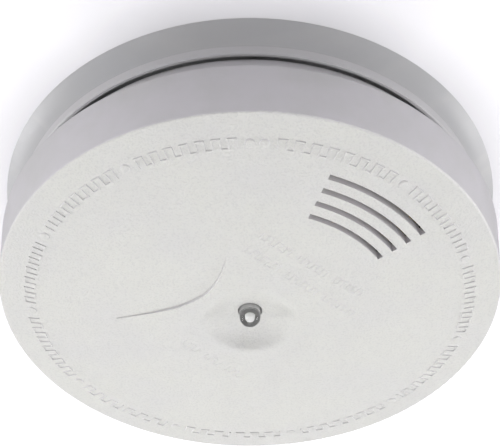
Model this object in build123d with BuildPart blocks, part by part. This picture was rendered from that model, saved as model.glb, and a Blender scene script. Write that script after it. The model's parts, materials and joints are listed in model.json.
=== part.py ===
from build123d import *
import os
from math import cos, hypot, radians, sin, sqrt

# Ceiling smoke alarm, in millimetres. The origin is the middle of the mounting base's back face, which lies
# on the ceiling, and +Z points up into the ceiling, so every height below is negative.

# Cover: the outer shape of the face, the side wall and the shoulder
face_r = 57.5
face_edge_z = -29.0
dome_rise = 6.5
side_top_r = 58.4
side_top_z = -15.5
shoulder_top_r = 53.0
shoulder_top_z = -6.8
cover_wall = 2.2
shoulder_rim = 2.3
edge_round = 0.5

# The dish in the middle of the face, and the hole for the light guide
dish_r = 11.4
dish_hole_r = 2.8
dish_rim_z = -32.3
dish_boss_z = -29.6

# Sound slots: concentric arcs, measured from the axis, -Y side towards +X
slot_outer_radii = [45.5, 41.95, 38.4, 34.85]
slot_width = 1.25
slot_start = -68.5
slot_sweep = 35.2

# Swoosh steps: two recesses whose floors rise to meet the face further out
swoosh_points = [(-30.5, 1.0), (-24.9, -0.9), (-20.2, -2.5), (-15.6, -4.5), (-12.0, -6.9),
                 (-9.7, -9.1), (-7.9, -11.9), (-6.5, -15.3), (-5.4, -19.0), (-4.6, -23.6), (-3.4, -31.0)]
swoosh_depth = 0.75
swoosh_fade_from = 13.2
swoosh_fade_to = 23.0

# Mounting base
base_back_r = 59.1
base_edge = 0.3
base_plate = 1.8
skirt_low_r = 55.5
skirt_low_z = -5.2
lip_low_r = 55.1
lip_low_z = -7.0
lip_inner_r = 54.2
lip_inner_z = -7.2
window_r = 46.4
spine_half = 5.8
hub_r = 10.4
mount_spacing = 60.0
mount_slot_length = 12.0
mount_slot_width = 4.5

# Twist lock: ledges on the base, lugs on the rear housing
# spaced unevenly, so that the head goes on one way round only
lock_angles = [90.0, 195.0, 345.0]
ledge_inner_r = 49.9
ledge_top_z = -4.7
ledge_bottom_z = -6.2
ledge_sweep = 11.0
stop_sweep = 3.0
lug_outer_r = 53.2
lug_top_z = -2.7
lug_bottom_z = -4.4
lug_sweep = 9.0

# Rear housing
ring_outer_r = 49.2
ring_wall = 1.6
ring_top_z = -2.6
ring_bottom_z = -11.0
back_top_z = -3.7
back_plate = 1.5
rib_count = 24
rib_outer_r = 50.4
post_circle_r = 44.0
post_angles = [0.0, 126.5, 233.5]
post_r = 3.1
post_split_z = -12.0
screw_shank_r = 1.4
screw_head_r = 2.5
screw_head_height = 1.8

# Battery and its bay
battery_x = -25.0
battery_width = 26.5
battery_length = 46.4
battery_thick = 17.5
battery_top_z = -4.0
terminal_height = 2.1
terminal_spacing = 12.7
bay_gap = 0.5
bay_wall = 1.3
bay_end_room = 4.6

# Interlock lever, under the battery
lever_pivot_y = -19.0
lever_pivot_z = -23.6
lever_length = 15.0
lever_width = 5.0
lever_thick = 1.4
lever_knuckle_r = 1.8
lever_pin_r = 1.0
lever_slot_right = 4.6
lug_wall = 1.6

# Circuit board and what stands on it
board_r = 42.4
board_edge_x = -8.6
board_top_z = -18.8
board_thick = 1.6
board_posts = [(-4.0, 37.0), (-4.0, -36.0), (39.0, -7.0)]
board_post_r = 2.6
chamber_at = (20.0, 15.0)
chamber_r = 17.4
chamber_floor = 1.6
chamber_cap_z = -8.3
chamber_top_z = -6.9
beam_z = -13.0

# Sounder
horn_at = (23.5, -28.6)
horn_r = 17.2
horn_wall = 1.4
collar_top_z = -26.5
gasket_thick = 0.8
horn_top_z = -20.9
disc_z = -24.3
disc_thick = 0.3
ceramic_r = 9.8
ceramic_thick = 0.25
contact_spots = [(0.0, 0.0), (-11.6, 0.0), (6.0, 3.0)]

# Light guide, its spring and the test switch
guide_r = 2.4
guide_tip_z = -36.4
guide_flange_r = 4.6
guide_flange_top_z = -27.9
guide_flange_thick = 1.3
guide_stem_r = 1.7
guide_stem_top_z = -24.6
switch_x = 8.2
switch_height = 3.6
plunger_r = 1.5
plunger_top_z = -23.7
led_height = 2.8

# The face is a spherical cap about this centre
dome_radius = (face_r**2 + dome_rise**2) / (2 * dome_rise)
dome_apex_z = face_edge_z - dome_rise
dome_centre_z = dome_apex_z + dome_radius
board_bottom_z = board_top_z - board_thick
back_bottom_z = back_top_z - back_plate
battery_bottom_z = battery_top_z - battery_thick
bay_floor_z = battery_bottom_z - bay_gap
battery_y = -1.0


def dome_z(r, inset=0.0):
    return dome_centre_z - sqrt((dome_radius - inset) ** 2 - r**2)


def polar(r, angle):
    return (r * cos(radians(angle)), r * sin(radians(angle)))


def save(part, name):
    part.label = name
    export_step(part, f"parts/{name}.step")


def ring_sector(inner_r, outer_r, start, sweep):
    """One arc-shaped slot or lug, as a sketch on XY."""
    with BuildSketch(Plane.XY) as sector:
        with BuildLine():
            CenterArc((0, 0), outer_r, start, sweep)
            CenterArc((0, 0), inner_r, start, sweep)
            Line(polar(inner_r, start), polar(outer_r, start))
            Line(polar(inner_r, start + sweep), polar(outer_r, start + sweep))
        make_face()
    return sector.sketch


def pan_screw(shank_r, head_r, head_height, length):
    """A pan-head screw whose head stands on XY and whose shank runs down -Z, with a cross recess."""
    with BuildPart() as screw:
        with BuildSketch(Plane.XY):
            Circle(head_r)
        extrude(amount=head_height)
        fillet(screw.edges().group_by(Axis.Z)[-1], head_height * 0.45)
        with BuildSketch(Plane.XY):
            Circle(shank_r)
        extrude(amount=-length)
        chamfer(screw.edges().group_by(Axis.Z)[0], shank_r * 0.5)
        with BuildSketch(Plane.XY.offset(head_height)):
            Rectangle(head_r * 1.2, head_r * 0.28)
            Rectangle(head_r * 0.28, head_r * 1.2)
        extrude(amount=-head_height * 0.5, mode=Mode.SUBTRACT)
    return screw.part


def coil(radius, wire_r, height, turns):
    """A compression spring about the Z axis that stands on XY."""
    rise = height - 2 * wire_r
    with BuildPart() as spring:
        with BuildLine(Plane.XY.offset(wire_r)) as centre:
            Helix(pitch=rise / turns, height=rise, radius=radius)
        with BuildSketch(Plane(origin=centre.line @ 0, z_dir=centre.line % 0)):
            Circle(wire_r)
        sweep(is_frenet=True)
    return spring.part


def led(body_r, length, flange):
    """A lens-ended diode that stands on XY and shines along +Z."""
    with BuildPart() as diode:
        with BuildSketch(Plane.XZ):
            with BuildLine():
                Polyline(
                    (0, 0),
                    (body_r + flange, 0),
                    (body_r + flange, 0.8),
                    (body_r, 0.8),
                    (body_r, length - body_r),
                )
                CenterArc((0, length - body_r), body_r, 0, 90)
                Line((0, length), (0, 0))
            make_face()
        revolve(axis=Axis.Z)
    return diode.part


def chip(length, pin_count):
    """A dual-in-line chip that lies along X and stands on XY."""
    pitch = 2.54
    with BuildPart() as package:
        with BuildSketch(Plane.XY.offset(0.6)):
            Rectangle(length, 6.4)
        extrude(amount=3.2)
        chamfer(package.edges().group_by(Axis.Z)[-1], 0.3)
        with BuildSketch(Plane.XY.offset(3.8)):
            with Locations((-length / 2, 0)):
                Circle(0.9)
        extrude(amount=-0.4, mode=Mode.SUBTRACT)
        with BuildSketch(Plane.XY):
            with GridLocations(pitch, 7.6, pin_count // 2, 2):
                Rectangle(0.5, 0.3)
        extrude(amount=2.2)
        with BuildSketch(Plane.XY.offset(1.9)):
            with GridLocations(pitch, 7.0, pin_count // 2, 2):
                Rectangle(0.9, 1.5)
        extrude(amount=0.3)
    return package.part


def can_capacitor(can_r, height):
    """An electrolytic capacitor that stands on XY, with the groove near its foot."""
    with BuildPart() as can:
        with BuildSketch(Plane.XZ) as section:
            with BuildLine():
                Polyline(
                    (0, 0),
                    (can_r, 0),
                    (can_r, 1.0),
                    (can_r - 0.3, 1.4),
                    (can_r, 1.8),
                    (can_r, height),
                    (0, height),
                    (0, 0),
                )
            make_face()
            fillet(section.vertices().sort_by_distance((can_r, height))[0], 0.5)
        revolve(axis=Axis.Z)
    return can.part


def resistor():
    """An axial resistor that lies along X on two bent legs."""
    height = 1.6
    with BuildPart() as body:
        with BuildSketch(Plane.YZ.offset(-3.1)):
            with Locations((0, height)):
                Circle(1.15)
        extrude(amount=6.2)
        fillet(body.edges(), 0.4)
        with BuildSketch(Plane.YZ.offset(-5.08)):
            with Locations((0, height)):
                Circle(0.3)
        extrude(amount=10.16)
        with BuildSketch(Plane.XY):
            with Locations((-4.75, 0), (4.75, 0)):
                Circle(0.25)
        extrude(amount=height)
    return body.part


os.makedirs("parts", exist_ok=True)

# ---------------------------------------------------------------- mounting base
with BuildPart() as base:
    with BuildSketch(Plane.XZ):
        with BuildLine():
            Polyline((0, 0), (base_back_r - base_edge, 0), (base_back_r, -base_edge))
            ThreePointArc((base_back_r, -base_edge), (56.9, -2.7), (skirt_low_r, skirt_low_z))
            Polyline(
                (skirt_low_r, skirt_low_z),
                (lip_low_r, lip_low_z),
                (lip_low_r - 0.25, lip_inner_z),
                (lip_inner_r, lip_inner_z),
                (lip_inner_r, -5.0),
                (56.2, -base_plate),
                (0, -base_plate),
                (0, 0),
            )
        make_face()
    revolve(axis=Axis.Z)
    # two large windows leave a spine with a hub and the screw slots
    with BuildSketch(Plane.XY):
        Circle(window_r)
        Rectangle(2 * spine_half, 2 * window_r + 2, mode=Mode.SUBTRACT)
        Circle(hub_r, mode=Mode.SUBTRACT)
    extrude(amount=-base_plate, mode=Mode.SUBTRACT)
    with BuildSketch(Plane.XY):
        with Locations((0, mount_spacing / 2), (0, -mount_spacing / 2)):
            SlotOverall(mount_slot_length, mount_slot_width, rotation=90)
    extrude(amount=-base_plate, mode=Mode.SUBTRACT)
    # ledges for the lugs of the rear housing, each with a stop at its tight end
    with BuildSketch(Plane.XY.offset(ledge_bottom_z)):
        for angle in lock_angles:
            add(ring_sector(ledge_inner_r, lip_inner_r + 0.6, angle - ledge_sweep / 2, ledge_sweep))
    extrude(amount=ledge_top_z - ledge_bottom_z)
    with BuildSketch(Plane.XY.offset(ledge_bottom_z)):
        for angle in lock_angles:
            add(ring_sector(ledge_inner_r, lip_inner_r + 0.6, angle + ledge_sweep / 2, stop_sweep))
    extrude(amount=-base_plate - ledge_bottom_z)
save(base.part, "mounting_base")

# ---------------------------------------------------------------- cover
with BuildPart() as cover_envelope:
    with BuildSketch(Plane.XZ) as outline:
        with BuildLine():
            Line((0, dish_rim_z), (dish_hole_r, dish_rim_z))
            Spline(
                (dish_hole_r, dish_rim_z),
                (6.6, -32.9),
                (9.4, -34.3),
                (dish_r, dome_z(dish_r)),
                tangents=[(1, -0.06), (1, dish_r / dome_radius)],
            )
            ThreePointArc((dish_r, dome_z(dish_r)), (35, dome_z(35)), (face_r, face_edge_z))
            Polyline(
                (face_r, face_edge_z),
                (side_top_r, side_top_z),
                (shoulder_top_r, shoulder_top_z),
                (0, shoulder_top_z),
                (0, dish_rim_z),
            )
        make_face()
        fillet(outline.vertices().sort_by_distance((face_r, face_edge_z))[0], edge_round)
        fillet(outline.vertices().sort_by_distance((side_top_r, side_top_z))[0], edge_round)
    revolve(axis=Axis.Z)

inner_top_r = shoulder_top_r - shoulder_rim
inner_side_r = face_r - cover_wall
boss_foot_r = dish_r + 2.0
with BuildPart() as cover_cavity:
    with BuildSketch(Plane.XZ):
        with BuildLine():
            Polyline(
                (0, shoulder_top_z + 1),
                (inner_top_r, shoulder_top_z + 1),
                (inner_top_r, shoulder_top_z),
                (side_top_r - cover_wall, side_top_z - 0.6),
                (inner_side_r, dome_z(inner_side_r, cover_wall)),
            )
            ThreePointArc(
                (inner_side_r, dome_z(inner_side_r, cover_wall)),
                (35, dome_z(35, cover_wall)),
                (boss_foot_r, dome_z(boss_foot_r, cover_wall)),
            )
            Polyline(
                (boss_foot_r, dome_z(boss_foot_r, cover_wall)),
                (7.5, dish_boss_z),
                (0, dish_boss_z),
                (0, shoulder_top_z + 1),
            )
        make_face()
    revolve(axis=Axis.Z)

# screw bosses and the horn's collar, which run down into the face
with BuildPart() as cover_bosses:
    with BuildSketch(Plane.XY.offset(post_split_z)):
        for angle in post_angles:
            with Locations(polar(post_circle_r, angle)):
                Circle(post_r)
    extrude(amount=-25)
    with BuildSketch(Plane.XY.offset(collar_top_z)):
        with Locations(horn_at):
            Circle(horn_r)
            Circle(horn_r - horn_wall, mode=Mode.SUBTRACT)
    extrude(amount=-12)
    add(cover_envelope.part, mode=Mode.INTERSECT)

# one swoosh recess: its floor is a ball that is shifted so that it dips under the face at the step
shift = swoosh_depth * dome_radius / (swoosh_fade_to - swoosh_fade_from)
shift_lift = shift * swoosh_fade_to / dome_radius - shift**2 / (2 * dome_radius)
with BuildPart() as swoosh:
    with BuildSketch(Plane.XY.offset(dome_apex_z - 2)):
        with BuildLine():
            Spline(*swoosh_points)
            Polyline(swoosh_points[-1], (-30.5, -31.0), swoosh_points[0])
        make_face()
    extrude(amount=10)
    with Locations((-shift / sqrt(2), -shift / sqrt(2), dome_centre_z + shift_lift)):
        Sphere(dome_radius, mode=Mode.SUBTRACT)

with BuildPart() as cover:
    add(cover_envelope.part)
    add(cover_cavity.part, mode=Mode.SUBTRACT)
    add(cover_bosses.part)
    with BuildSketch(Plane.XY.offset(dome_apex_z - 1)):
        Circle(dish_hole_r)
    extrude(amount=10, mode=Mode.SUBTRACT)
    with BuildSketch(Plane.XY.offset(dome_apex_z - 1)):
        for outer_r in slot_outer_radii:
            add(ring_sector(outer_r - slot_width, outer_r, slot_start, slot_sweep))
    extrude(amount=9.5, mode=Mode.SUBTRACT)
    with BuildSketch(Plane.XY.offset(post_split_z)):
        for angle in post_angles:
            with Locations(polar(post_circle_r, angle)):
                Circle(screw_shank_r + 0.1)
    extrude(amount=-15, mode=Mode.SUBTRACT)
    add(swoosh.part, mode=Mode.SUBTRACT)
    add(swoosh.part, rotation=(0, 0, 180), mode=Mode.SUBTRACT)
save(cover.part, "cover")

# ---------------------------------------------------------------- rear housing
bay_low_y = battery_y - battery_length / 2 - bay_gap
bay_high_y = battery_y + battery_length / 2 + bay_end_room
bay_size = (battery_width + 2 * bay_gap, bay_high_y - bay_low_y)
bay_at = (battery_x, (bay_high_y + bay_low_y) / 2)
bay_under_z = bay_floor_z - bay_wall
seat_z = back_top_z - screw_head_height - 0.4
lug_right_x = battery_x + lever_slot_right
lug_left_x = battery_x - lever_width / 2 - 0.5
with BuildPart() as rear:
    with BuildSketch(Plane.XZ):
        with BuildLine():
            ring_inner_r = ring_outer_r - ring_wall
            Polyline(
                (0, back_top_z),
                (ring_inner_r, back_top_z),
                (ring_inner_r, ring_top_z),
                (ring_outer_r, ring_top_z),
                (ring_outer_r, ring_bottom_z),
                (ring_inner_r, ring_bottom_z),
                (ring_inner_r, back_bottom_z),
                (0, back_bottom_z),
                (0, back_top_z),
            )
        make_face()
    revolve(axis=Axis.Z)
    with BuildSketch(Plane.XY.offset(lug_bottom_z)):
        for angle in lock_angles:
            add(ring_sector(ring_outer_r - 0.5, lug_outer_r, angle - lug_sweep / 2, lug_sweep))
    extrude(amount=lug_top_z - lug_bottom_z)
    # ribs that keep the smoke inlet open between this ring and the cover
    with BuildSketch(Plane.XY.offset(shoulder_top_z)):
        with PolarLocations((ring_outer_r + rib_outer_r) / 2, rib_count):
            Rectangle(rib_outer_r - ring_outer_r + 0.4, 1.0)
    extrude(amount=ring_bottom_z - shoulder_top_z)
    # posts for the cover's screws and for the board's screws
    with BuildSketch(Plane.XY.offset(back_bottom_z)):
        for angle in post_angles:
            with Locations(polar(post_circle_r, angle)):
                Circle(post_r)
    extrude(amount=post_split_z - back_bottom_z)
    with BuildSketch(Plane.XY.offset(back_bottom_z)):
        with Locations(*board_posts):
            Circle(board_post_r)
    extrude(amount=board_top_z - back_bottom_z)
    # battery bay
    with BuildSketch(Plane.XY.offset(back_bottom_z)):
        with Locations(bay_at):
            RectangleRounded(bay_size[0] + 2 * bay_wall, bay_size[1] + 2 * bay_wall, 1.8)
    extrude(amount=bay_under_z - back_bottom_z)
    with BuildSketch(Plane.XY.offset(back_top_z)):
        with Locations(bay_at):
            Rectangle(*bay_size)
    extrude(amount=bay_floor_z - back_top_z, mode=Mode.SUBTRACT)
    # lugs for the interlock lever's pin, and the lever's slot in the bay's floor
    with BuildSketch(Plane.XY.offset(bay_floor_z)):
        for lug_x in (lug_left_x - lug_wall / 2, lug_right_x + lug_wall / 2):
            with Locations((lug_x, lever_pivot_y)):
                Rectangle(lug_wall, 2 * lever_knuckle_r + 0.6)
    extrude(amount=lever_pivot_z - lever_knuckle_r - bay_floor_z)
    with BuildSketch(Plane.XY.offset(bay_floor_z)):
        slot_low_y = lever_pivot_y - lever_knuckle_r - 0.6
        slot_high_y = lever_pivot_y + lever_length + 0.6
        with Locations(((lug_left_x + lug_right_x) / 2, (slot_low_y + slot_high_y) / 2)):
            Rectangle(lug_right_x - lug_left_x, slot_high_y - slot_low_y)
    extrude(amount=-bay_wall, mode=Mode.SUBTRACT)
    with BuildSketch(Plane.YZ.offset(lug_left_x - lug_wall)):
        with Locations((lever_pivot_y, lever_pivot_z)):
            Circle(lever_pin_r + 0.02)
    extrude(amount=lug_right_x - lug_left_x + 2 * lug_wall, mode=Mode.SUBTRACT)
    # screw holes
    with BuildSketch(Plane.XY.offset(back_top_z)):
        for angle in post_angles:
            with Locations(polar(post_circle_r, angle)):
                Circle(screw_head_r + 0.2)
    extrude(amount=seat_z - back_top_z, mode=Mode.SUBTRACT)
    with BuildSketch(Plane.XY.offset(seat_z)):
        for angle in post_angles:
            with Locations(polar(post_circle_r, angle)):
                Circle(screw_shank_r + 0.1)
    extrude(amount=post_split_z - seat_z, mode=Mode.SUBTRACT)
    with BuildSketch(Plane.XY.offset(board_top_z)):
        with Locations(*board_posts):
            Circle(0.95)
    extrude(amount=9, mode=Mode.SUBTRACT)
save(rear.part, "rear_housing")

with BuildPart() as housing_screws:
    with Locations(*[(*polar(post_circle_r, angle), seat_z) for angle in post_angles]):
        add(pan_screw(screw_shank_r, screw_head_r, screw_head_height, 14.0))
save(housing_screws.part, "housing_screws")

with BuildPart() as label:
    with BuildSketch(Plane.XY.offset(back_top_z)):
        with Locations((20.0, 0.0)):
            RectangleRounded(34.0, 26.0, 2.0)
    extrude(amount=0.15)
save(label.part, "rating_label")

# ---------------------------------------------------------------- battery and interlock
case_end_y = battery_y + battery_length / 2
case_mid_z = battery_top_z - battery_thick / 2
with BuildPart() as battery:
    with BuildSketch(Plane.XZ.offset(-(battery_y - battery_length / 2))):
        with Locations((battery_x, case_mid_z)):
            RectangleRounded(battery_width, battery_thick, 2.0)
    extrude(amount=-battery_length)
save(battery.part, "battery_case")

with BuildPart() as terminals:
    with BuildSketch(Plane.XZ.offset(-case_end_y)):
        with Locations((battery_x - terminal_spacing / 2, case_mid_z)):
            Circle(2.9)
        with Locations((battery_x + terminal_spacing / 2, case_mid_z)):
            Circle(4.0)
    extrude(amount=-terminal_height)
    with BuildSketch(Plane.XZ.offset(-case_end_y - terminal_height)):
        with Locations((battery_x + terminal_spacing / 2, case_mid_z)):
            Circle(2.7)
    extrude(amount=terminal_height - 0.4, mode=Mode.SUBTRACT)
save(terminals.part, "battery_terminals")

leaf_thick = 0.4
leaf_wall_y = bay_high_y - 0.05
leaf_nose_y = case_end_y + terminal_height + 0.35
with BuildPart() as contacts:
    with BuildSketch(Plane.YZ.offset(battery_x - terminal_spacing / 2 - 3.0)):
        with BuildLine():
            Polyline(
                (leaf_wall_y, -6.0),
                (leaf_wall_y, bay_floor_z + 0.05),
                (leaf_wall_y - leaf_thick, bay_floor_z + 0.05),
                (leaf_wall_y - leaf_thick, case_mid_z - 4.5),
                (leaf_nose_y, case_mid_z),
                (leaf_wall_y - leaf_thick, case_mid_z + 4.5),
                (leaf_wall_y - leaf_thick, -6.0),
                (leaf_wall_y, -6.0),
            )
        make_face()
        with BuildLine():
            Polyline(
                (leaf_wall_y - leaf_thick, case_mid_z - 3.9),
                (leaf_nose_y + 2 * leaf_thick, case_mid_z),
                (leaf_wall_y - leaf_thick, case_mid_z + 3.9),
                close=True,
            )
        make_face(mode=Mode.SUBTRACT)
    extrude(amount=6.0)
    add(contacts.part.moved(Location((terminal_spacing, 0, 0))))
save(contacts.part, "battery_contacts")

arm_top_z = battery_bottom_z - 0.4
with BuildPart() as lever:
    with BuildSketch(Plane.YZ.offset(battery_x - lever_width / 2)):
        with Locations((lever_pivot_y, lever_pivot_z)):
            Circle(lever_knuckle_r)
        arm_mid = (lever_pivot_y + lever_length / 2, arm_top_z - lever_thick / 2)
        with Locations(arm_mid):
            Rectangle(lever_length, lever_thick)
        with Locations((lever_pivot_y, lever_pivot_z)):
            Circle(lever_pin_r + 0.06, mode=Mode.SUBTRACT)
    extrude(amount=lever_width)
    tip_edges = lever.edges().filter_by(Axis.Z).group_by(Axis.Y)[-1]
    fillet(tip_edges, 1.5)
save(lever.part, "interlock_lever")

with BuildPart() as pin:
    with BuildSketch(Plane.YZ.offset(lug_left_x - lug_wall)):
        with Locations((lever_pivot_y, lever_pivot_z)):
            Circle(lever_pin_r)
    extrude(amount=lug_right_x - lug_left_x + 2 * lug_wall)
save(pin.part, "lever_pin")

lever_coil = coil(1.5, 0.2, 1.5, 2.5)
lever_coil_x = battery_x + lever_width / 2 + 0.35
with BuildPart() as lever_spring:
    add(lever_coil.moved(Location((lever_coil_x, lever_pivot_y, lever_pivot_z), (0, 90, 0))))
save(lever_spring.part, "lever_spring")

# ---------------------------------------------------------------- circuit board
with BuildPart() as board:
    with BuildSketch(Plane.XY.offset(board_top_z)):
        Circle(board_r)
        with Locations((board_edge_x, 0)):
            Rectangle(board_r, 2 * board_r, align=(Align.MAX, Align.CENTER), mode=Mode.SUBTRACT)
        with Locations(polar(post_circle_r, post_angles[0])):
            Circle(post_r + 0.6, mode=Mode.SUBTRACT)
        with Locations(*board_posts):
            Circle(1.0, mode=Mode.SUBTRACT)
    extrude(amount=-board_thick)
save(board.part, "circuit_board")

with BuildPart() as board_screws:
    down = (180, 0, 0)
    for spot in board_posts:
        add(pan_screw(0.85, 1.9, 1.2, 8.0).moved(Location((*spot, board_bottom_z), down)))
save(board_screws.part, "board_screws")

with BuildPart() as control_chip:
    add(chip(19.2, 14).moved(Location((6.0, -13.5, board_top_z))))
save(control_chip.part, "control_chip")

with BuildPart() as driver_chip:
    add(chip(9.6, 8).moved(Location((25.0, -12.5, board_top_z))))
save(driver_chip.part, "driver_chip")

with BuildPart() as capacitors:
    for spot, can_r, can_height in [
        ((13.0, -25.5), 3.2, 8.0),
        ((21.0, -24.0), 2.5, 6.5),
        ((28.0, -23.0), 2.5, 6.5),
        ((2.0, 30.0), 2.0, 5.0),
    ]:
        add(can_capacitor(can_r, can_height).moved(Location((*spot, board_top_z))))
save(capacitors.part, "capacitors")

with BuildPart() as resistors:
    with Locations((10.0, -33.0, board_top_z), (10.0, -36.5, board_top_z), (24.5, -31.0, board_top_z)):
        add(resistor())
    with Locations((8.0, 37.5, board_top_z), (-2.6, 20.0, board_top_z)):
        add(resistor())
save(resistors.part, "resistors")

with BuildPart() as horn_coil:
    with BuildSketch(Plane.XZ):
        with BuildLine():
            Polyline(
                (0, 0),
                (4.2, 0),
                (4.2, 1.2),
                (3.2, 1.2),
                (3.2, 6.0),
                (4.2, 6.0),
                (4.2, 7.2),
                (0, 7.2),
                (0, 0),
            )
        make_face()
    revolve(axis=Axis.Z)
horn_coil_placed = horn_coil.part.moved(Location((1.5, -24.5, board_top_z)))
save(horn_coil_placed, "horn_coil")

# ---------------------------------------------------------------- smoke chamber
chamber_floor_z = board_top_z + chamber_floor
holder_angles = [180.0, 300.0]
with BuildPart() as chamber_base:
    with BuildSketch(Plane.XY.offset(board_top_z)):
        with Locations(chamber_at):
            Circle(chamber_r)
    extrude(amount=chamber_floor)
    with BuildSketch(Plane.XY.offset(chamber_floor_z)):
        with Locations(chamber_at):
            with PolarLocations(7.6, 2, 180.0, 120.0, endpoint=True):
                Rectangle(4.6, 6.6)
    extrude(amount=beam_z + 3.2 - chamber_floor_z)
    for angle in holder_angles:
        beam_from = (
            chamber_at[0] + polar(12.0, angle)[0],
            chamber_at[1] + polar(12.0, angle)[1],
            beam_z,
        )
        inward = (*polar(-1.0, angle), 0)
        with BuildSketch(Plane(origin=beam_from, z_dir=inward)):
            Circle(2.56)
        extrude(amount=9, mode=Mode.SUBTRACT)
save(chamber_base.part, "chamber_base")

for name, angle in (("ir_emitter", holder_angles[0]), ("photodiode", holder_angles[1])):
    foot = (
        chamber_at[0] + polar(11.2, angle)[0],
        chamber_at[1] + polar(11.2, angle)[1],
        beam_z,
    )
    aim = Plane(origin=foot, z_dir=(*polar(-1.0, angle), 0))
    with BuildPart() as diode:
        add(led(2.5, 7.0, 0.4).moved(aim.location))
    save(diode.part, name)

with BuildPart() as screen:
    with BuildSketch(Plane.XY.offset(chamber_floor_z)):
        with Locations(chamber_at):
            Circle(chamber_r - 0.1)
            Circle(chamber_r - 0.5, mode=Mode.SUBTRACT)
    extrude(amount=chamber_cap_z - chamber_floor_z)
    with BuildSketch(Plane.XY.offset(chamber_floor_z + 0.8)):
        with Locations(chamber_at):
            with PolarLocations(chamber_r - 0.3, 48):
                Rectangle(1.4, 1.3)
    extrude(amount=chamber_cap_z - chamber_floor_z - 1.6, mode=Mode.SUBTRACT)
save(screen.part, "insect_screen")

with BuildPart() as chamber_cover:
    with BuildSketch(Plane.XY.offset(chamber_cap_z)):
        with Locations(chamber_at):
            Circle(chamber_r)
    extrude(amount=chamber_top_z - chamber_cap_z)
    fillet(chamber_cover.edges().group_by(Axis.Z)[-1], 0.6)
    with BuildSketch(Plane.XY.offset(chamber_cap_z)):
        with Locations(chamber_at):
            with PolarLocations(14.3, 20):
                Rectangle(4.6, 0.9, rotation=50)
    extrude(amount=chamber_floor_z + 0.2 - chamber_cap_z)
save(chamber_cover.part, "chamber_cover")

# ---------------------------------------------------------------- sounder
gasket_top_z = collar_top_z + gasket_thick
disc_top_z = disc_z + disc_thick
with BuildPart() as gasket:
    with BuildSketch(Plane.XY.offset(collar_top_z)):
        with Locations(horn_at):
            Circle(horn_r)
            Circle(horn_r - horn_wall, mode=Mode.SUBTRACT)
    extrude(amount=gasket_thick)
save(gasket.part, "horn_gasket")

with BuildPart() as horn:
    with BuildSketch(Plane.XY.offset(gasket_top_z)):
        with Locations(horn_at):
            Circle(horn_r)
    extrude(amount=horn_top_z - gasket_top_z)
    with BuildSketch(Plane.XY.offset(gasket_top_z)):
        with Locations(horn_at):
            Circle(horn_r - horn_wall)
    extrude(amount=disc_top_z - gasket_top_z, mode=Mode.SUBTRACT)
    with BuildSketch(Plane.XY.offset(disc_top_z)):
        with Locations(horn_at):
            Circle(13.6)
    extrude(amount=1.9, mode=Mode.SUBTRACT)
    with BuildSketch(Plane.XY.offset(horn_top_z)):
        with Locations(horn_at):
            with Locations(*contact_spots):
                Circle(1.4)
    extrude(amount=-3, mode=Mode.SUBTRACT)
save(horn.part, "horn_housing")

with BuildPart() as disc:
    with BuildSketch(Plane.XY.offset(disc_z)):
        with Locations(horn_at):
            Circle(horn_r - horn_wall - 0.15)
    extrude(amount=disc_thick)
save(disc.part, "piezo_disc")

with BuildPart() as ceramic:
    with BuildSketch(Plane.XY.offset(disc_top_z)):
        with Locations(horn_at):
            Circle(ceramic_r)
    extrude(amount=ceramic_thick)
save(ceramic.part, "piezo_ceramic")

with BuildPart() as piezo_contacts:
    for spot in contact_spots:
        on_ceramic = hypot(*spot) < ceramic_r
        foot_z = disc_top_z + (ceramic_thick if on_ceramic else 0)
        contact = coil(0.85, 0.15, board_bottom_z - foot_z, 5)
        add(contact.moved(Location((horn_at[0] + spot[0], horn_at[1] + spot[1], foot_z))))
save(piezo_contacts.part, "piezo_contacts")

# ---------------------------------------------------------------- light guide and test switch
flange_under_z = guide_flange_top_z - guide_flange_thick
with BuildPart() as guide:
    with BuildSketch(Plane.XZ):
        with BuildLine():
            tip_centre_z = guide_tip_z + guide_r
            CenterArc((0, tip_centre_z), guide_r, -90, 90)
            Polyline(
                (guide_r, tip_centre_z),
                (guide_r, flange_under_z),
                (guide_flange_r, flange_under_z),
                (guide_flange_r, guide_flange_top_z),
                (guide_stem_r, guide_flange_top_z),
                (guide_stem_r, guide_stem_top_z),
                (0, guide_stem_top_z),
                (0, guide_tip_z),
            )
        make_face()
    revolve(axis=Axis.Z)
    with BuildSketch(Plane.XY.offset(flange_under_z)):
        SlotCenterToCenter(2 * switch_x, 4.0)
        with Locations((-switch_x, 0)):
            Rectangle(2 * switch_x, 8, mode=Mode.SUBTRACT)
    extrude(amount=guide_flange_thick)
save(guide.part, "test_button")

with BuildPart() as button_spring:
    add(coil(2.7, 0.2, board_bottom_z - guide_flange_top_z, 6).moved(Location((0, 0, guide_flange_top_z))))
save(button_spring.part, "button_spring")

with BuildPart() as switch:
    with BuildSketch(Plane.XY.offset(board_bottom_z)):
        with Locations((switch_x, 0)):
            Rectangle(6.0, 6.0)
    extrude(amount=-switch_height)
    chamfer(switch.edges().filter_by(Axis.Z), 0.4)
    with BuildSketch(Plane.XY.offset(board_bottom_z - switch_height)):
        with Locations((switch_x, 0)):
            Circle(plunger_r + 0.08)
    extrude(amount=2.6, mode=Mode.SUBTRACT)
save(switch.part, "test_switch")

with BuildPart() as plunger:
    with BuildSketch(Plane.XY.offset(guide_flange_top_z)):
        with Locations((switch_x, 0)):
            Circle(plunger_r)
    extrude(amount=plunger_top_z - guide_flange_top_z)
save(plunger.part, "switch_plunger")

with BuildPart() as status_led:
    add(led(1.5, led_height, 0.3).moved(Location((0, 0, board_bottom_z), (180, 0, 0))))
save(status_led.part, "status_led")
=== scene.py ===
import json
import math

import bpy
import bmesh
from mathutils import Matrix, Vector
from mathutils.bvhtree import BVHTree


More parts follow.
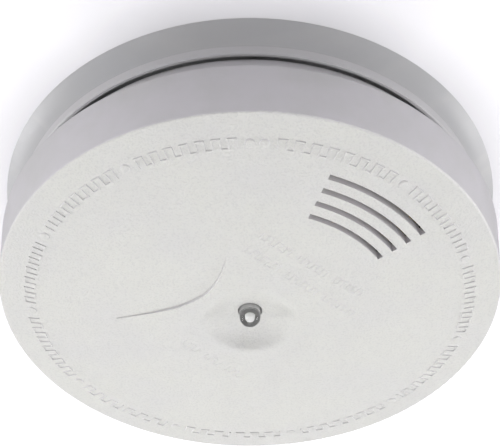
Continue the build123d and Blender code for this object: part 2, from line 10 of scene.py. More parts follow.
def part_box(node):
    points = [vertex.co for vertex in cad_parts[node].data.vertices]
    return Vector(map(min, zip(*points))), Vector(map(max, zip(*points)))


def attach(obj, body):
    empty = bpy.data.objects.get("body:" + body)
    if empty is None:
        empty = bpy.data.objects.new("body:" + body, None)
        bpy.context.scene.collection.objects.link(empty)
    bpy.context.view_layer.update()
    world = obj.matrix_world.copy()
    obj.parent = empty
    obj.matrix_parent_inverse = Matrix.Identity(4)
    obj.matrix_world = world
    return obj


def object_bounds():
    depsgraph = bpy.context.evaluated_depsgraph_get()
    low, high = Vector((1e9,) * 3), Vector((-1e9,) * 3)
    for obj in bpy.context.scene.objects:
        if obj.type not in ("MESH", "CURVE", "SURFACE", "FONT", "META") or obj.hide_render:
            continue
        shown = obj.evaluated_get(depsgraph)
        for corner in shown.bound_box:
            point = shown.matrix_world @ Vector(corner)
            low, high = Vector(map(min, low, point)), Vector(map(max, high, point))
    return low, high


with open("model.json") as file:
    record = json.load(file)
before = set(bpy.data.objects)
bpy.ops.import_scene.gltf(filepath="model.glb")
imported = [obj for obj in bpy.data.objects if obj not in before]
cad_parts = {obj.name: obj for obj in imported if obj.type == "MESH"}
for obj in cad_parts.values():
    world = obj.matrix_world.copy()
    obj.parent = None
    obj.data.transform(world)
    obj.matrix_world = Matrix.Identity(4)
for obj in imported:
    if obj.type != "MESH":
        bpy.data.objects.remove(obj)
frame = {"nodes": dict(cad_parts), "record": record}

# A ceiling smoke alarm. Its frame has its origin on the ceiling, and everything hangs below it, towards -Z.

CAD_LOW, CAD_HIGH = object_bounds()
NODES = frame["nodes"]
BASE_LOW, BASE_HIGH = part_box("mounting_base")
BASE_R = (BASE_HIGH.x - BASE_LOW.x) / 2


# ---------------------------------------------------------------- camera

CAMERA_PLACE = (0.0, -0.24184, -0.24118)
CAMERA_PITCH = 134.44
CAMERA_SENSOR = 36.0
CAMERA_LENS = 100.26


def make_camera():
    """A short telephoto view from below, about 45 degrees up at the ceiling."""
    data = bpy.data.cameras.new("camera")
    data.sensor_width = CAMERA_SENSOR
    data.lens = CAMERA_LENS
    data.clip_start = 0.01
    data.clip_end = 20.0
    camera = bpy.data.objects.new("camera", data)
    camera.location = CAMERA_PLACE
    camera.rotation_euler = (math.radians(CAMERA_PITCH), 0.0, 0.0)
    bpy.context.scene.collection.objects.link(camera)
    bpy.context.scene.camera = camera


# ---------------------------------------------------------------- node helpers

class Shader:
    """A material's node tree with short ways to add what the finishes below are made of."""

    def __init__(self, name, colour, roughness, metallic=0.0, specular=0.5):
        self.material = bpy.data.materials.new(name)
        self.material.use_nodes = True
        self.tree = self.material.node_tree
        self.tree.nodes.clear()
        self.output = self.tree.nodes.new("ShaderNodeOutputMaterial")
        self.surface = self.tree.nodes.new("ShaderNodeBsdfPrincipled")
        self.surface.inputs["Base Color"].default_value = (*colour, 1.0)
        self.surface.inputs["Roughness"].default_value = roughness
        self.surface.inputs["Metallic"].default_value = metallic
        self.surface.inputs["Specular IOR Level"].default_value = specular
        self.link(self.surface.outputs["BSDF"], self.output.inputs["Surface"])
        coordinates = self.tree.nodes.new("ShaderNodeTexCoord")
        self.place = coordinates.outputs["Object"]
        self.colour = None
        self.height = None

    def link(self, source, target):
        self.tree.links.new(source, target)

    def set(self, **values):
        for name, value in values.items():
            self.surface.inputs[name.replace("_", " ")].default_value = value

    def seen(self):
        """1 where the camera looks straight at a stage surface, 0 for the light that it gives the object."""
        return self.tree.nodes.new("ShaderNodeLightPath").outputs["Is Camera Ray"]

    def math(self, operation, a, b=None):
        node = self.tree.nodes.new("ShaderNodeMath")
        node.operation = operation
        for socket, value in zip(node.inputs, (a, b)):
            if value is None:
                continue
            if isinstance(value, (int, float)):
                socket.default_value = value
            else:
                self.link(value, socket)
        return node.outputs[0]

    def axis(self, name):
        node = self.tree.nodes.new("ShaderNodeSeparateXYZ")
        self.link(self.place, node.inputs[0])
        return node.outputs[name]

    def radius(self, x=0.0, y=0.0):
        """Distance from a vertical line through x, y."""
        along_x = self.math("SUBTRACT", self.axis("X"), x)
        along_y = self.math("SUBTRACT", self.axis("Y"), y)
        squares = self.math("ADD", self.math("POWER", along_x, 2.0), self.math("POWER", along_y, 2.0))
        return self.math("SQRT", squares)

    def stretched(self, x, y, z):
        node = self.tree.nodes.new("ShaderNodeMapping")
        node.inputs["Scale"].default_value = (x, y, z)
        self.link(self.place, node.inputs["Vector"])
        return node.outputs[0]

    def noise(self, scale, detail=3.0, roughness=0.5, place=None, distortion=0.0):
        node = self.tree.nodes.new("ShaderNodeTexNoise")
        node.inputs["Scale"].default_value = scale
        node.inputs["Detail"].default_value = detail
        node.inputs["Roughness"].default_value = roughness
        node.inputs["Distortion"].default_value = distortion
        self.link(place or self.place, node.inputs["Vector"])
        return node.outputs["Fac"]

    def cells(self, scale):
        node = self.tree.nodes.new("ShaderNodeTexVoronoi")
        node.inputs["Scale"].default_value = scale
        self.link(self.place, node.inputs["Vector"])
        return node.outputs["Distance"]

    def ramp(self, value, low, high, out_low=0.0, out_high=1.0):
        node = self.tree.nodes.new("ShaderNodeMapRange")
        node.inputs["From Min"].default_value = low
        node.inputs["From Max"].default_value = high
        node.inputs["To Min"].default_value = out_low
        node.inputs["To Max"].default_value = out_high
        self.link(value, node.inputs["Value"])
        return node.outputs[0]

    def tint(self, colour, mask):
        """Blends a colour over the base colour by a mask."""
        node = self.tree.nodes.new("ShaderNodeMix")
        node.data_type = "RGBA"
        self.link(mask, node.inputs["Factor"])
        if self.colour is None:
            node.inputs["A"].default_value = self.surface.inputs["Base Color"].default_value
        else:
            self.link(self.colour, node.inputs["A"])
        node.inputs["B"].default_value = (*colour, 1.0)
        self.colour = node.outputs["Result"]
        self.link(self.colour, self.surface.inputs["Base Color"])

    def vary(self, name, value):
        self.link(value, self.surface.inputs[name])

    def bump(self, height, distance, strength=1.0):
        node = self.tree.nodes.new("ShaderNodeBump")
        node.inputs["Strength"].default_value = strength
        node.inputs["Distance"].default_value = distance
        self.link(height, node.inputs["Height"])
        if self.height is not None:
            self.link(self.height, node.inputs["Normal"])
        self.height = node.outputs["Normal"]
        self.link(self.height, self.surface.inputs["Normal"])


# ---------------------------------------------------------------- finishes, one for each material slot

def facing_down(shader):
    """1 on the face of the cover, 0 on its walls."""
    geometry = shader.tree.nodes.new("ShaderNodeNewGeometry")
    split = shader.tree.nodes.new("ShaderNodeSeparateXYZ")
    shader.link(geometry.outputs["True Normal"], split.inputs[0])
    return shader.ramp(split.outputs["Z"], -0.55, -0.75)


def cover_plastic():
    """Warm white moulding: spark-eroded face, polished walls; the walls carry a lighter lavender tint than
    the face, a painted light tone.
    """
    s = Shader("cover", (0.86, 0.84, 0.865), 0.5, specular=0.4)
    face = facing_down(s)
    # painted light: the face takes a greener, darker tint than the lavender walls, for the tone the light
    # gives each side, not a second plastic
    s.tint((0.805, 0.805, 0.765), face)
    s.tint((0.78, 0.775, 0.765), s.ramp(s.noise(55.0, 4.0, 0.6), 0.42, 0.68, 0.0, 0.7))
    pits = s.ramp(s.noise(2100.0, 2.0, 0.55), 0.36, 0.66)
    # painted shade: the bottoms of the spark-eroded pits are tinted darker
    s.tint((0.66, 0.66, 0.65), s.math("MULTIPLY", s.ramp(pits, 0.0, 0.4, 0.35, 0.0), face))
    walls_to_face = s.ramp(face, 0.0, 1.0, 0.34, 0.58)
    s.vary("Roughness", s.math("ADD", walls_to_face, s.ramp(pits, 0.0, 1.0, 0.04, -0.04)))
    s.bump(s.math("MULTIPLY", pits, face), 0.00007, 0.9)
    s.bump(s.noise(160.0, 2.0), 0.00006, 0.10)
    return s.material


# size of the band on the base's lower edge bead that is painted lighter, a painted highlight
BEAD_WIDTH = 0.0044
BEAD_HEIGHT = 0.0019


def housing_plastic():
    """The same white plastic, smooth, a little cooler, with faint flow lines; its colour is painted darker
    than the cover's as shade, and the bead along its lower edge lighter as a painted highlight.
    """
    # painted shade: a darker base colour than the cover's, for the skirt that lies in the cover's shadow
    s = Shader("housing", (0.70, 0.70, 0.705), 0.4, specular=0.45)
    s.tint((0.68, 0.685, 0.70), s.ramp(s.noise(40.0, 4.0, 0.6), 0.40, 0.70))
    s.tint((0.77, 0.765, 0.76), s.ramp(s.noise(9.0, 3.0, 0.5, s.stretched(1, 6, 1), 1.2), 0.5, 0.72))
    # the bead along the base's lower edge, painted lighter: a painted highlight where it catches more light
    # than the skirt
    bead = s.math("MULTIPLY", s.math("GREATER_THAN", s.radius(), BASE_R - BEAD_WIDTH),
                  s.math("LESS_THAN", s.axis("Z"), BASE_LOW.z + BEAD_HEIGHT))
    s.tint((0.86, 0.85, 0.86), bead)
    s.vary("Roughness", s.ramp(s.noise(700.0, 2.0), 0.3, 0.7, 0.34, 0.46))
    s.bump(s.noise(1500.0, 2.0), 0.00001, 0.35)
    return s.material


def metal(name, colour, dark, roughness, grain=900.0):
    """Plated or drawn metal with fine drawn lines and duller patches."""
    s = Shader(name, colour, roughness, metallic=1.0)
    s.tint(dark, s.ramp(s.noise(grain * 0.4, 3.0, 0.6), 0.45, 0.75))
    smoother, rougher = roughness * 0.75, min(1.0, roughness * 1.5)
    s.vary("Roughness", s.ramp(s.noise(grain, 3.0), 0.3, 0.7, smoother, rougher))
    s.bump(s.noise(grain * 2.0, 2.0, 0.6, s.stretched(1, 1, 0.15)), 0.00001, 0.5)
    return s.material


def moulded(name, colour, second, roughness, specular=0.45, grain=1800.0):
    """Engineering plastic with a fine grain and slight shade changes."""
    s = Shader(name, colour, roughness, specular=specular)
    s.tint(second, s.ramp(s.noise(120.0, 4.0, 0.6), 0.42, 0.70))
    smoother, rougher = roughness * 0.85, min(1.0, roughness * 1.15)
    s.vary("Roughness", s.ramp(s.noise(grain * 0.5, 2.0), 0.3, 0.7, smoother, rougher))
    s.bump(s.noise(grain, 2.0), 0.000015, 0.4)
    return s.material


def label_film():
    """Blank satin label with a thin grey frame line."""
    line_inset, line_half_width = 0.0017, 0.00018
    low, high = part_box("rating_label")
    s = Shader("label", (0.84, 0.84, 0.81), 0.42, specular=0.5)
    middle = (low + high) / 2
    half = (high - low) / 2
    off_x = s.math("SUBTRACT", half.x, s.math("ABSOLUTE", s.math("SUBTRACT", s.axis("X"), middle.x)))
    off_y = s.math("SUBTRACT", half.y, s.math("ABSOLUTE", s.math("SUBTRACT", s.axis("Y"), middle.y)))
    inset = s.math("MINIMUM", off_x, off_y)
    line = s.math("LESS_THAN", s.math("ABSOLUTE", s.math("SUBTRACT", inset, line_inset)), line_half_width)
    s.tint((0.80, 0.80, 0.76), s.ramp(s.noise(300.0, 4.0), 0.4, 0.7))
    s.tint((0.30, 0.31, 0.33), line)
    s.bump(s.noise(900.0, 3.0), 0.00001, 0.3)
    return s.material


def battery_sleeve():
    """Plain metal jacket of a block battery: graphite with a copper-coloured end."""
    copper_share, edge_half_width, seam_offset, seam_width = 0.27, 0.0004, 0.006, 0.0004
    low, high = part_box("battery_case")
    s = Shader("battery", (0.035, 0.038, 0.045), 0.32, specular=0.6)
    end = high.y - (high.y - low.y) * copper_share
    copper = s.math("GREATER_THAN", s.axis("Y"), end)
    s.tint((0.52, 0.25, 0.10), copper)
    edge = s.math("LESS_THAN", s.math("ABSOLUTE", s.math("SUBTRACT", s.axis("Y"), end)), edge_half_width)
    s.tint((0.75, 0.75, 0.74), edge)
    seam = s.math("ABSOLUTE", s.math("SUBTRACT", s.axis("X"), (low.x + high.x) / 2 + seam_offset))
    s.vary("Roughness", s.ramp(s.noise(220.0, 4.0, 0.6), 0.3, 0.7, 0.22, 0.42))
    s.bump(s.ramp(seam, 0.0, seam_width), 0.00012, 0.5)
    s.bump(s.noise(90.0, 3.0), 0.00008, 0.2)
    return s.material


def board_laminate():
    """Green solder mask over copper tracks, with tinned pads."""
    s = Shader("board", (0.020, 0.115, 0.045), 0.30, specular=0.6)
    grid = s.tree.nodes.new("ShaderNodeTexBrick")
    grid.inputs["Scale"].default_value = 210.0
    grid.inputs["Mortar Size"].default_value = 0.10
    grid.inputs["Mortar Smooth"].default_value = 0.15
    grid.inputs["Brick Width"].default_value = 1.7
    grid.inputs["Row Height"].default_value = 0.53
    s.link(s.place, grid.inputs["Vector"])
    tracks = s.ramp(grid.outputs["Fac"], 0.2, 0.8)
    s.tint((0.030, 0.20, 0.085), tracks)
    pads = s.ramp(s.cells(390.0), 0.16, 0.13)
    s.tint((0.62, 0.62, 0.60), pads)
    s.tint((0.012, 0.085, 0.030), s.ramp(s.noise(150.0, 4.0), 0.5, 0.75, 0.0, 0.5))
    s.bump(tracks, 0.00004, 0.6)
    s.bump(pads, 0.00012, 0.6)
    return s.material


def chip_package():
    """Black epoxy with a fine blasted grain; the legs outside the body are tinned."""
    legs_from, legs_to = 0.00322, 0.0045
    s = Shader("chip", (0.022, 0.022, 0.024), 0.48, specular=0.4)
    legs = None
    for name in ("control_chip", "driver_chip"):
        low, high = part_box(name)
        off = s.math("ABSOLUTE", s.math("SUBTRACT", s.axis("Y"), (low.y + high.y) / 2))
        near = s.math("LESS_THAN", s.math("ABSOLUTE", s.math("SUBTRACT", s.axis("X"), (low.x + high.x) / 2)),
                      (high.x - low.x) / 2)
        beside = s.math("MULTIPLY", s.math("GREATER_THAN", off, legs_from), near)
        here = s.math("MULTIPLY", beside, s.math("LESS_THAN", off, legs_to))
        legs = here if legs is None else s.math("MAXIMUM", legs, here)
    s.tint((0.60, 0.60, 0.58), legs)
    s.vary("Metallic", legs)
    s.vary("Roughness", s.ramp(s.noise(1500.0, 2.0), 0.3, 0.7, 0.36, 0.56))
    s.bump(s.noise(3500.0, 2.0), 0.00002, 0.5)
    return s.material


def can_sleeve():
    """Dark blue sleeve with a bare aluminium top."""
    s = Shader("capacitor", (0.015, 0.022, 0.075), 0.28, specular=0.6)
    geometry = s.tree.nodes.new("ShaderNodeNewGeometry")
    split = s.tree.nodes.new("ShaderNodeSeparateXYZ")
    s.link(geometry.outputs["Normal"], split.inputs[0])
    top = s.ramp(split.outputs["Z"], 0.80, 0.92)
    s.tint((0.70, 0.71, 0.72), top)
    s.vary("Metallic", top)
    s.tint((0.60, 0.62, 0.66), s.math("MULTIPLY", s.ramp(split.outputs["X"], 0.86, 0.90), 0.8))
    s.bump(s.noise(1200.0, 2.0), 0.00001, 0.3)
    return s.material


def resistor_lacquer():
    """Beige lacquer with colour bands across the body."""
    band_pitch, band_spacing, band_place, band_half_width = 0.0073, 0.0013, 0.0035, 0.0003
    s = Shader("resistor", (0.60, 0.47, 0.30), 0.30, specular=0.6)
    for i, colour in enumerate(((0.35, 0.10, 0.03), (0.05, 0.05, 0.05), (0.55, 0.30, 0.05))):
        place = s.math("PINGPONG", s.math("ADD", s.axis("X"), i * band_spacing), band_pitch)
        off_band = s.math("ABSOLUTE", s.math("SUBTRACT", place, band_place))
        s.tint(colour, s.math("LESS_THAN", off_band, band_half_width))
    s.vary("Roughness", s.ramp(s.noise(600.0, 3.0), 0.3, 0.7, 0.24, 0.42))
    s.bump(s.noise(900.0, 2.0), 0.00002, 0.3)
    return s.material


def wound_drum():
    """Ferrite drum wound with enamelled copper wire."""
    winding_r, winding_half_height, wire_half_pitch = 0.0034, 0.00245, 0.00011
    low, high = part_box("horn_coil")
    s = Shader("ferrite", (0.045, 0.043, 0.042), 0.55, specular=0.4)
    middle = (low + high) / 2
    off_middle = s.math("ABSOLUTE", s.math("SUBTRACT", s.axis("Z"), middle.z))
    wire = s.math("MULTIPLY", s.math("LESS_THAN", s.radius(middle.x, middle.y), winding_r),
                  s.math("LESS_THAN", off_middle, winding_half_height))
    s.tint((0.55, 0.19, 0.055), wire)
    s.vary("Metallic", s.math("MULTIPLY", wire, 0.85))
    turns = s.math("PINGPONG", s.axis("Z"), wire_half_pitch)
    s.bump(s.math("MULTIPLY", turns, wire), 0.4, 0.7)
    s.bump(s.noise(1500.0, 2.0), 0.00002, 0.4)
    return s.material


def woven_mesh():
    """Fine stainless gauze between the posts of the screen."""
    half_pitch = 0.00015
    s = Shader("mesh", (0.46, 0.46, 0.45), 0.38, metallic=1.0)
    weave = s.math("MULTIPLY", s.math("PINGPONG", s.axis("Z"), half_pitch),
                   s.math("PINGPONG", s.axis("X"), half_pitch))
    s.tint((0.10, 0.10, 0.10), s.ramp(weave, 2.0e-9, 9.0e-9, 1.0, 0.0))
    s.bump(weave, 900.0, 0.8)
    return s.material


def closed_foam():
    """Charcoal foam with open pores on its skin, painted darker inside as painted shade."""
    s = Shader("foam", (0.035, 0.035, 0.036), 0.9, specular=0.2)
    pores = s.cells(2600.0)
    # painted shade: the pores are tinted darker than the skin round them
    s.tint((0.012, 0.012, 0.012), s.ramp(pores, 0.25, 0.05))
    s.bump(pores, 0.00012, 0.8)
    return s.material


def rolled_brass():
    """Brass disc with the fine rings that its blanking leaves."""
    ring_half_pitch = 0.00018
    low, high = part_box("piezo_disc")
    middle = (low + high) / 2
    s = Shader("brass", (0.66, 0.46, 0.17), 0.30, metallic=1.0)
    s.tint((0.45, 0.27, 0.10), s.ramp(s.noise(200.0, 5.0, 0.65), 0.45, 0.72))
    rings = s.math("PINGPONG", s.radius(middle.x, middle.y), ring_half_pitch)
    s.bump(rings, 0.10, 0.4)
    return s.material


def clear_plastic(name, colour, tint, ior, roughness):
    """Clear moulding with faint flow haze; light passes through it."""
    s = Shader(name, colour, roughness)
    s.set(Transmission_Weight=1.0, IOR=ior)
    s.tint(tint, s.ramp(s.noise(260.0, 3.0), 0.4, 0.75, 0.0, 0.6))
    s.vary("Roughness", s.ramp(s.noise(500.0, 3.0), 0.35, 0.75, roughness, roughness + 0.06))
    s.bump(s.noise(420.0, 2.0), 0.00002, 0.12)
    return s.material


def painted_glow_core_finish():
    """Milky plastic with faint bubbles, and a painted glow: it gives off light though no lamp is in it."""
    s = Shader("guide_core", (0.88, 0.88, 0.86), 0.5, specular=0.3)
    s.tint((0.74, 0.74, 0.72), s.ramp(s.noise(2500.0, 3.0), 0.4, 0.7))
    # painted glow: the core emits light of its own, for the bright disc in the dome
    s.set(Emission_Color=(0.95, 0.95, 0.92, 1.0), Emission_Strength=0.25)
    s.bump(s.noise(4000.0, 2.0), 0.00002, 0.4)
    return s.material


def light_guide_finish():
    """Clear guide: a polished dome, and a frosted shank where it runs in the cover's hole."""
    frost_from, frost_to = 0.0026, 0.0036
    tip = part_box("test_button")[0].z
    s = Shader("light_guide", (0.96, 0.965, 0.97), 0.03)
    s.set(Transmission_Weight=1.0, IOR=1.49)
    frosted = s.ramp(s.axis("Z"), tip + frost_from, tip + frost_to)
    s.tint((0.84, 0.84, 0.83), frosted)
    s.vary("Transmission Weight", s.ramp(frosted, 0.0, 1.0, 1.0, 0.25))
    polish = s.ramp(frosted, 0.0, 1.0, 0.03, 0.42)
    s.vary("Roughness", s.math("ADD", polish, s.ramp(s.noise(900.0), 0.4, 0.7, 0.0, 0.05)))
    s.bump(s.noise(420.0, 2.0), 0.00002, 0.12)
    return s.material


def finishes():
    """One material for each slot of the record."""
    return {
        "cover": cover_plastic(),
        "housing": housing_plastic(),
        "screw": metal("screw", (0.58, 0.59, 0.61), (0.50, 0.46, 0.34), 0.34),
        "steel": metal("steel", (0.55, 0.56, 0.58), (0.42, 0.43, 0.45), 0.24),
        "spring": metal("spring", (0.60, 0.60, 0.62), (0.44, 0.44, 0.46), 0.26),
        "contact": metal("contact", (0.66, 0.64, 0.60), (0.50, 0.49, 0.46), 0.22),
        "terminal": metal("terminal", (0.70, 0.70, 0.70), (0.55, 0.55, 0.55), 0.18),
        "label": label_film(),
        "battery": battery_sleeve(),
        "lever": moulded("lever", (0.55, 0.025, 0.02), (0.47, 0.02, 0.018), 0.38),
        "board": board_laminate(),
        "chip": chip_package(),
        "capacitor": can_sleeve(),
        "resistor": resistor_lacquer(),
        "ferrite": wound_drum(),
        "chamber": moulded("chamber", (0.018, 0.018, 0.018), (0.028, 0.027, 0.026), 0.78, 0.25, 1200.0),
        "mesh": woven_mesh(),
        "dark_lens": clear_plastic("dark_lens", (0.10, 0.08, 0.16), (0.06, 0.05, 0.10), 1.5, 0.06),
        "foam": closed_foam(),
        "horn": moulded("horn", (0.46, 0.46, 0.45), (0.40, 0.40, 0.39), 0.5),
        "brass": rolled_brass(),
        "ceramic": moulded("ceramic", (0.74, 0.73, 0.66), (0.62, 0.61, 0.56), 0.35, 0.5, 3000.0),
        "light_guide": light_guide_finish(),
        "plunger": moulded("plunger", (0.05, 0.05, 0.052), (0.035, 0.035, 0.036), 0.42),
        "led": clear_plastic("led", (0.93, 0.93, 0.94), (0.85, 0.86, 0.88), 1.52, 0.10),
    }


def smooth(mesh, angle=32.0):
    """Smooth shading, with edges sharper than the angle kept crisp."""
    for polygon in mesh.polygons:
        polygon.use_smooth = True
    shape = bmesh.new()
    shape.from_mesh(mesh)
    limit = math.radians(angle)
    for edge in shape.edges:
        edge.smooth = len(edge.link_faces) == 2 and edge.calc_face_angle(0.0) < limit
    shape.to_mesh(mesh)
    shape.free()


def dress_cad_nodes(materials):
    """Each CAD node takes the finish of its material slot in the record."""
    for entry in frame["record"]["subparts"]:
        node = NODES[entry["node"]]
        node.data.materials.clear()
        node.data.materials.append(materials[entry["material_slot"]])


# ---------------------------------------------------------------- raised marks on the face

class Face:
    """The outer surface of the cover, for laying marks on it."""

    def __init__(self):
        cover = NODES["cover"].data
        points = [v.co.copy() for v in cover.vertices]
        self.tree = BVHTree.FromPolygons(points, [tuple(p.vertices) for p in cover.polygons])
        self.below = CAD_LOW.z - 0.01

    def at(self, x, y):
        """Height of the face over a point, looking up from below the alarm."""
        hit = self.tree.ray_cast(Vector((x, y, self.below)), Vector((0, 0, 1)))[0]
        return hit.z


# how far the foot of a raised mark is sunk into the cover, so that no gap shows under it
MARK_SINK = 0.00006


def polar(radius, angle):
    return radius * math.cos(angle), radius * math.sin(angle)


def add_ridge(shape, face, line, width, height, inset):
    """A raised ridge with drafted sides along a line of points, closed below the surface and at both ends."""
    rings = []
    for i, point in enumerate(line):
        before = (point - line[i - 1]).normalized() if i else (line[1] - point).normalized()
        after = (line[i + 1] - point).normalized() if i + 1 < len(line) else before
        across = Vector((-before.y - after.y, before.x + after.x)).normalized()
        # a corner is cut so that both of its arms keep their width
        reach = 0.5 / max(0.5, across.dot(Vector((-before.y, before.x))))
        ring = []
        foot, top = (-MARK_SINK, 0.0), (height, inset)
        for side, (lift, pull) in ((-1, foot), (-1, top), (1, top), (1, foot)):
            p = point + across * side * (width - 2 * pull) * reach
            ring.append(shape.verts.new((p.x, p.y, face.at(p.x, p.y) - lift)))
        rings.append(ring)
    for near, far in zip(rings, rings[1:]):
        for i in range(4):
            j = (i + 1) % 4
            shape.faces.new((near[i], far[i], far[j], near[j]))
    shape.faces.new(rings[0])
    shape.faces.new(list(reversed(rings[-1])))


def add_dot(shape, face, x, y, radius, height, inset):
    """A low round boss with a drafted edge and a top that follows the face."""
    sides = 28
    rings = []
    for lift, r in ((-MARK_SINK, radius), (height * 0.8, radius - inset), (height, radius - 2 * inset)):
        ring = []
        for i in range(sides):
            a = 2 * math.pi * i / sides
            px, py = x + r * math.cos(a), y + r * math.sin(a)
            ring.append(shape.verts.new((px, py, face.at(px, py) - lift)))
        rings.append(ring)
    for low, high in zip(rings, rings[1:]):
        for i in range(sides):
            j = (i + 1) % sides
            shape.faces.new((low[i], high[i], high[j], low[j]))
    shape.faces.new(rings[-1])
    shape.faces.new(list(reversed(rings[0])))


def square_wave(length, low, high, step):
    """A square wave in plain coordinates: along from 0 to length, across between low and high."""
    points = []
    count = max(2, int(length / step))
    for i in range(count + 1):
        along = length * i / count
        ends = (low, high) if i % 2 == 0 else (high, low)
        middle = (low + high) / 2
        points += [Vector((along, ends[0])), Vector((along, middle)), Vector((along, ends[1]))]
        if i < count:
            points.append(Vector((along + length / count / 2, ends[1])))
    return points


MARK_INNER_R = 0.0491
MARK_OUTER_R = 0.0515
MARK_HEIGHT = 0.00026
MARK_WIDTH = 0.00042
MARK_DRAFT = 0.00008
DOT_R = 0.00115
DOT_DRAFT = 0.00013
# dots between the stretches of wave, in degrees from +X; the first two are a pair
DOT_ANGLES = [-90.0, -86.6, -50.0, -18.0, 14.0, 45.6, 78.0, 112.0, 146.0, 178.0, 207.0, 239.0]
DOT_GAP = 3.2
WAVE_STEP = 0.00165
BREAK_EVERY = 0.0155


def make_ring_marks(face):
    """A ring of raised square waves with dots between them, where such alarms carry their moulded words."""
    shape = bmesh.new()
    middle_r = (MARK_INNER_R + MARK_OUTER_R) / 2
    for angle in DOT_ANGLES:
        add_dot(shape, face, *polar(middle_r, math.radians(angle)), DOT_R, MARK_HEIGHT, DOT_DRAFT)
    order = sorted(DOT_ANGLES)
    for start, stop in zip(order, order[1:] + [order[0] + 360.0]):
        room = math.radians(stop - start - 2 * DOT_GAP) * middle_r
        if room < 4 * WAVE_STEP:
            continue
        parts = max(1, round(room / BREAK_EVERY))
        part = (room - (parts - 1) * WAVE_STEP) / parts
        for n in range(parts):
            first = math.radians(start + DOT_GAP) + n * (part + WAVE_STEP) / middle_r
            line = []
            for p in square_wave(part, MARK_INNER_R, MARK_OUTER_R, WAVE_STEP):
                line.append(Vector(polar(p.y, first + p.x / middle_r)))
            add_ridge(shape, face, line, MARK_WIDTH, MARK_HEIGHT, MARK_DRAFT)
    return finish_piece(shape, "cover_ring_marks")


# rows of faint waves beside the dish: start and end in millimetres, from the axis
FAINT_ROWS = [((2.7, -26.7), (24.8, -8.1)), ((-0.5, -23.0), (23.4, -1.5)), ((-15.3, 7.9), (-2.2, 20.9))]
FAINT_STEP = 0.0013
FAINT_REACH = 0.0009
FAINT_HEIGHT = 0.0001
FAINT_WIDTH = 0.0003
FAINT_DRAFT = 0.00006
FAINT_PARTS = 3


def make_faint_marks(face):
    """Very low square waves in straight rows beside the dish."""
    shape = bmesh.new()
    for start, stop in FAINT_ROWS:
        origin = Vector(start) / 1000.0
        way = Vector(stop) / 1000.0 - origin
        along = way.normalized()
        across = Vector((-along.y, along.x))
        part = (way.length - (FAINT_PARTS - 1) * 2 * FAINT_STEP) / FAINT_PARTS
        for n in range(FAINT_PARTS):
            first = origin + along * n * (part + 2 * FAINT_STEP)
            line = [first + along * p.x + across * p.y
                    for p in square_wave(part, -FAINT_REACH, FAINT_REACH, FAINT_STEP)]
            add_ridge(shape, face, line, FAINT_WIDTH, FAINT_HEIGHT, FAINT_DRAFT)
    return finish_piece(shape, "cover_faint_marks")


CORE_R = 0.00075
CORE_DEPTH = 0.0017
# height above the core's tip, and the share of the full radius there
CORE_PROFILE = [(0.0, 0.55), (0.0002, 0.9), (0.0004, 1.0), (0.0010, 1.0)]


def make_guide_core():
    """The core moulded into the light guide, just behind its clear dome; it shows as a bright disc through
    its painted glow.
    """
    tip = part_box("test_button")[0].z + CORE_DEPTH
    shape = bmesh.new()
    sides = 36
    rings = []
    for rise, share in CORE_PROFILE:
        corners = [polar(CORE_R * share, 2 * math.pi * i / sides) for i in range(sides)]
        rings.append([shape.verts.new((*corner, tip + rise)) for corner in corners])
    for near, far in zip(rings, rings[1:]):
        for i in range(sides):
            j = (i + 1) % sides
            shape.faces.new((near[i], near[j], far[j], far[i]))
    shape.faces.new(list(reversed(rings[0])))
    shape.faces.new(rings[-1])
    return finish_piece(shape, "light_guide_core")


def finish_piece(shape, name):
    """Makes a built shape into an object of its own, with its faces turned outwards."""
    bmesh.ops.recalc_face_normals(shape, faces=shape.faces)
    mesh = bpy.data.meshes.new(name)
    shape.to_mesh(mesh)
    shape.free()
    smooth(mesh, 40.0)
    piece = bpy.data.objects.new(name, mesh)
    bpy.context.scene.collection.objects.link(piece)
    return piece


def put(piece, body, slot_name, materials):
    """Gives a new piece the finish kept under a slot name, and its body."""
    piece.data.materials.append(materials[slot_name])
    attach(piece, body)


# ---------------------------------------------------------------- stage and light

CEILING_HOLE_R = BASE_R - 0.0004
CEILING_R = 4.0
CEILING_Z = -0.00012
# where the soft shadow round the base ends, counted from the base's edge
SHADOW_RIM, SHADOW_FROM, SHADE_FROM, SHADE_TO, SHADOW_TO = 0.009, 0.03, 0.018, 0.06, 0.07


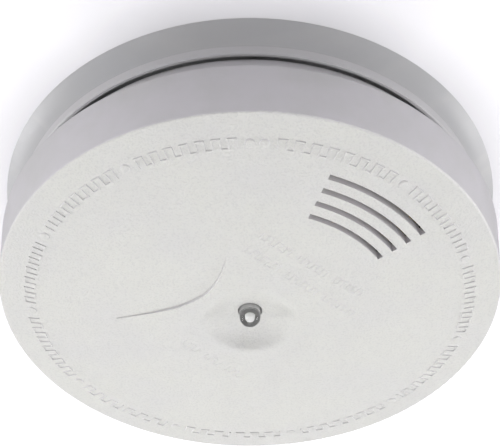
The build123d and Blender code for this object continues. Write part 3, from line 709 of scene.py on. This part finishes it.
def make_ceiling():
    """A white ceiling with an opening behind the base, and a soft shadow round the base painted into its
    colour and its glow; from above it lets everything through.
    """
    shape = bmesh.new()
    sides = 160
    rings = [[shape.verts.new((*polar(r, 2 * math.pi * i / sides), CEILING_Z)) for i in range(sides)]
             for r in (CEILING_HOLE_R, CEILING_R)]
    for i in range(sides):
        j = (i + 1) % sides
        shape.faces.new((rings[0][i], rings[0][j], rings[1][j], rings[1][i]))
    mesh = bpy.data.meshes.new("ceiling")
    shape.to_mesh(mesh)
    shape.free()
    for polygon in mesh.polygons:
        if polygon.normal.z > 0:
            polygon.flip()
    ceiling = bpy.data.objects.new("ceiling", mesh)
    bpy.context.scene.collection.objects.link(ceiling)
    s = Shader("ceiling", (0.36, 0.355, 0.37), 0.9, specular=0.0)
    # painted shadow: the ceiling's colour is darker near the base
    s.tint((0.86, 0.85, 0.88), s.ramp(s.radius(), BASE_R + SHADE_FROM, BASE_R + SHADE_TO))
    s.set(Emission_Color=(0.98, 0.97, 1.0, 1.0))
    far = s.ramp(s.radius(), BASE_R + SHADOW_FROM, BASE_R + SHADOW_TO, 0.0, 0.09)
    # painted shadow: the glow that the camera sees is shaped round the base, and lowered along a thin rim
    # next to it
    near = s.ramp(s.radius(), BASE_R + SHADOW_FROM, BASE_R + SHADOW_TO, 0.62, 0.24)
    near = s.math("SUBTRACT", near, s.ramp(s.radius(), BASE_R, BASE_R + SHADOW_RIM, 0.16, 0.0))
    # the soft shadow is deepest on the camera's side
    aside = s.ramp(s.math("DIVIDE", s.axis("Y"), s.radius()), -0.97, -0.80, 0.0, 0.16)
    near = s.math("ADD", near, aside)
    s.vary("Emission Strength", s.math("ADD", far, s.math("MULTIPLY", s.seen(), near)))
    clear = s.tree.nodes.new("ShaderNodeBsdfTransparent")
    mixer = s.tree.nodes.new("ShaderNodeMixShader")
    geometry = s.tree.nodes.new("ShaderNodeNewGeometry")
    s.link(geometry.outputs["Backfacing"], mixer.inputs["Fac"])
    s.link(s.surface.outputs["BSDF"], mixer.inputs[1])
    s.link(clear.outputs["BSDF"], mixer.inputs[2])
    s.link(mixer.outputs[0], s.output.inputs["Surface"])
    mesh.materials.append(s.material)


FLOOR_HALF = 6.0
FLOOR_Z = -1.1


def make_floor():
    """A pale floor far below, for the views from above."""
    mesh = bpy.data.meshes.new("floor")
    corners = [(x * FLOOR_HALF, y * FLOOR_HALF, FLOOR_Z) for x, y in ((-1, -1), (1, -1), (1, 1), (-1, 1))]
    mesh.from_pydata(corners, [], [(0, 1, 2, 3)])
    floor = bpy.data.objects.new("floor", mesh)
    bpy.context.scene.collection.objects.link(floor)
    s = Shader("floor", (0.80, 0.80, 0.79), 0.8, specular=0.1)
    s.tint((0.77, 0.77, 0.765), s.ramp(s.noise(3.0, 4.0), 0.4, 0.7))
    s.set(Emission_Color=(0.97, 0.97, 1.0, 1.0))
    s.vary("Emission Strength", s.math("ADD", s.math("MULTIPLY", s.seen(), 0.40), 0.08))
    mesh.materials.append(s.material)


def area_light(name, place, target, size, power):
    data = bpy.data.lights.new(name, "AREA")
    data.shape = "DISK"
    data.size = size
    data.energy = power
    light = bpy.data.objects.new(name, data)
    light.location = place
    light.rotation_euler = (Vector(target) - Vector(place)).to_track_quat("-Z", "Y").to_euler()
    light.visible_camera = False
    bpy.context.scene.collection.objects.link(light)


# place, width and power of each lamp: most light comes from below and from both sides, a little from the
# camera's side, and the one above is for the views of the back
SOFTBOXES = {
    "below": ((0.0, 0.35, -1.0), 1.0, 5.1),
    "left": ((-1.1, 0.2, -0.22), 0.5, 5.2),
    "right": ((1.1, 0.2, -0.22), 0.5, 5.0),
    "front": ((0.0, -1.2, -0.12), 0.4, 1.1),
    "above": ((-0.3, -0.4, 0.9), 0.8, 9.0),
}
LIT_PLACE = (0, 0, -0.02)
WORLD_LIGHT = 0.03
WORLD_SEEN = 0.52


def make_lights():
    """A faint world, which the camera sees as pale grey, and the lamps."""
    world = bpy.data.worlds.new("studio")
    world.use_nodes = True
    background = world.node_tree.nodes["Background"]
    background.inputs["Color"].default_value = (0.95, 0.96, 1.0, 1.0)
    seen = world.node_tree.nodes.new("ShaderNodeLightPath")
    strength = world.node_tree.nodes.new("ShaderNodeMapRange")
    strength.inputs["To Min"].default_value = WORLD_LIGHT
    strength.inputs["To Max"].default_value = WORLD_SEEN
    world.node_tree.links.new(seen.outputs["Is Camera Ray"], strength.inputs["Value"])
    world.node_tree.links.new(strength.outputs["Result"], background.inputs["Strength"])
    bpy.context.scene.world = world
    for name, (place, size, power) in SOFTBOXES.items():
        area_light(name, place, LIT_PLACE, size, power)
    view = bpy.context.scene.view_settings
    view.view_transform = "Standard"
    view.look = "None"


def main():
    make_camera()
    materials = finishes()
    dress_cad_nodes(materials)
    face = Face()
    put(make_ring_marks(face), "head", "cover", materials)
    put(make_faint_marks(face), "head", "cover", materials)
    put(make_guide_core(), "button", "label", {"label": painted_glow_core_finish()})
    make_ceiling()
    make_floor()
    make_lights()


main()
